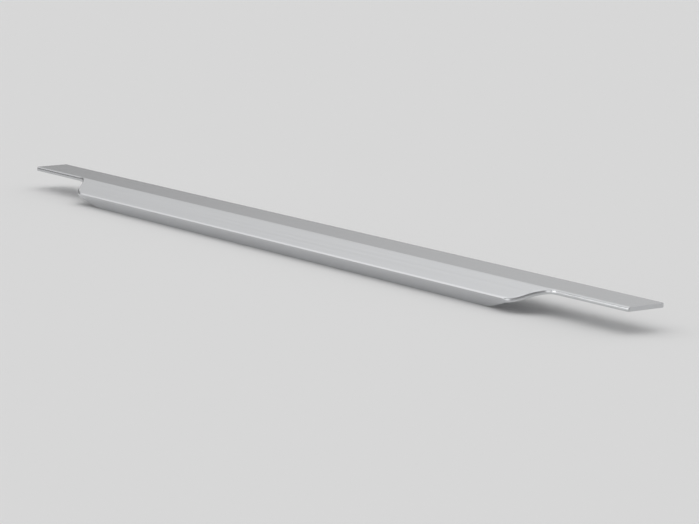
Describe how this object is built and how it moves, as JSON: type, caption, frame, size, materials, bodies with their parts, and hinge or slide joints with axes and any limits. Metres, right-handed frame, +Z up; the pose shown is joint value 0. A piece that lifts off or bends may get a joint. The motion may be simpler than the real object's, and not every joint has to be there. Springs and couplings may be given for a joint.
{
  "type": "edge pull handle",
  "caption": "Long aluminium edge pull for a drawer or cabinet front: flat cover plate, sloping nose with a returned finger lip, S-curved milled ends and a barbed tongue underneath.",
  "frame": {"origin": "where the tongue's middle plane meets the plate's underside, at half length", "axes": "+X along the handle, +Y from the nose to the back of the plate, +Z up out of the plate's top face"},
  "size_m": [0.597, 0.0342, 0.0136],
  "materials": {
    "anodised_aluminium": "fine satin, clear anodised, milled ends a little brighter"
  },
  "bodies": {
    "root": {"handle_profile": "anodised_aluminium"}
  },
  "joints": []
}
